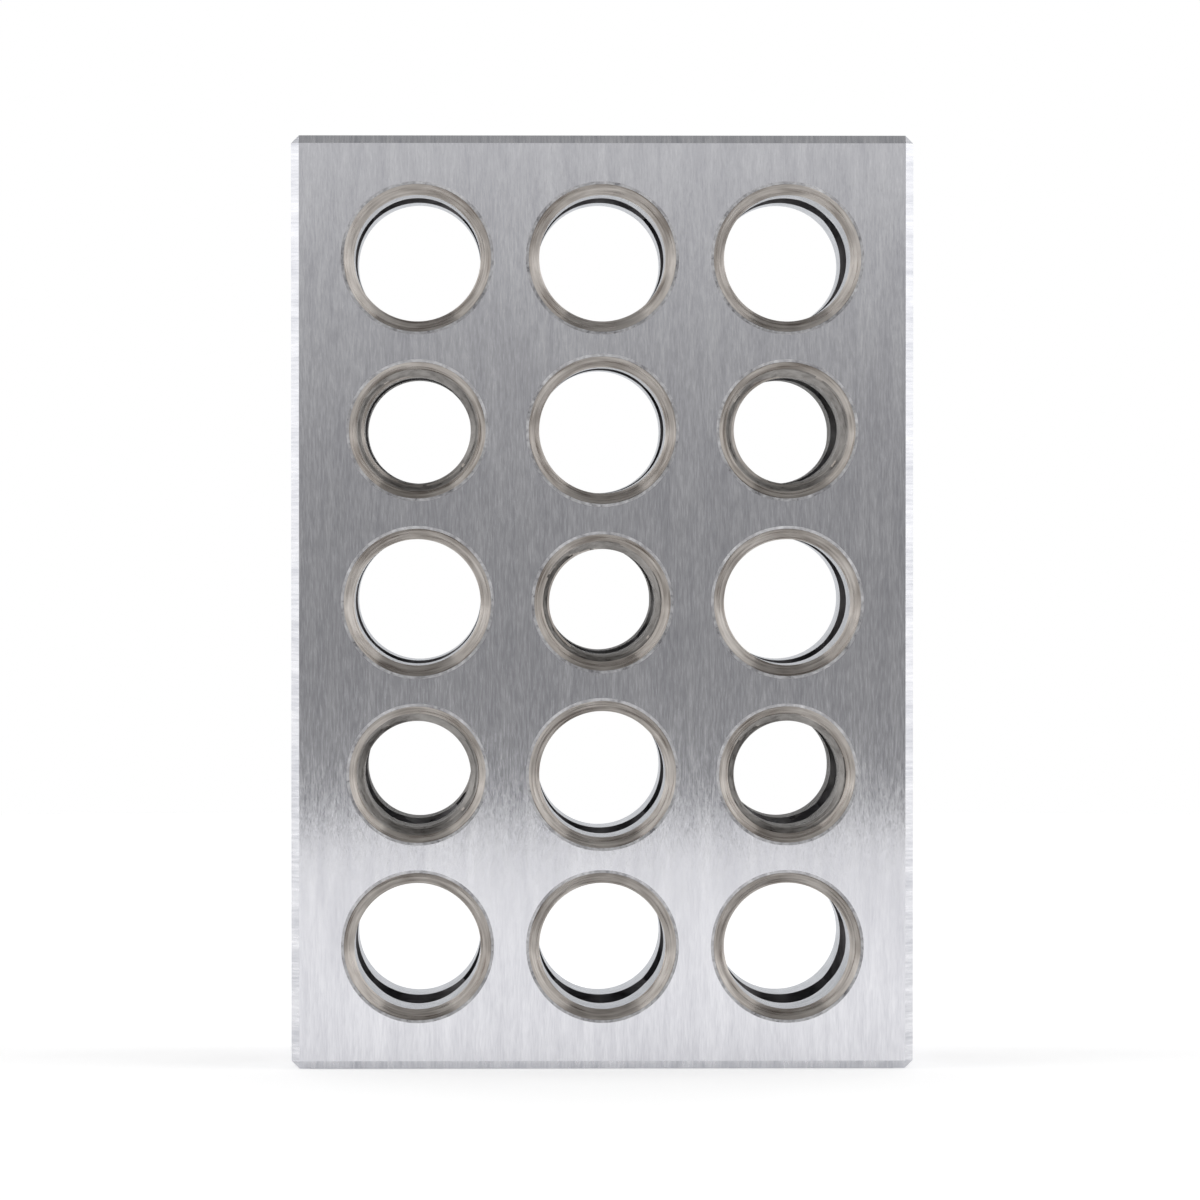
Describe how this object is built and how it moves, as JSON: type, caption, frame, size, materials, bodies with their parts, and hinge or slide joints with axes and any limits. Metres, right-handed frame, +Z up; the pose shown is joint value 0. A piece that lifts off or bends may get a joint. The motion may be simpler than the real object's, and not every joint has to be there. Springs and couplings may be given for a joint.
{
  "type": "machinist setup block",
  "caption": "Hardened and ground steel setup block, 1 x 2 x 3 inch, drilled through from every side with plain and tapped countersunk holes.",
  "frame": {"origin": "centre of the small end that the block stands on", "axes": "+X along the 2 inch width, +Y through the 1 inch thickness away from the front face, +Z up the 3 inch length"},
  "size_m": [0.0508, 0.0254, 0.0762],
  "materials": {
    "ground_steel": "ground on every face, with fine lines along the length; turned countersinks and drilled bores"
  },
  "bodies": {
    "root": {"setup_block": "ground_steel"}
  },
  "joints": []
}
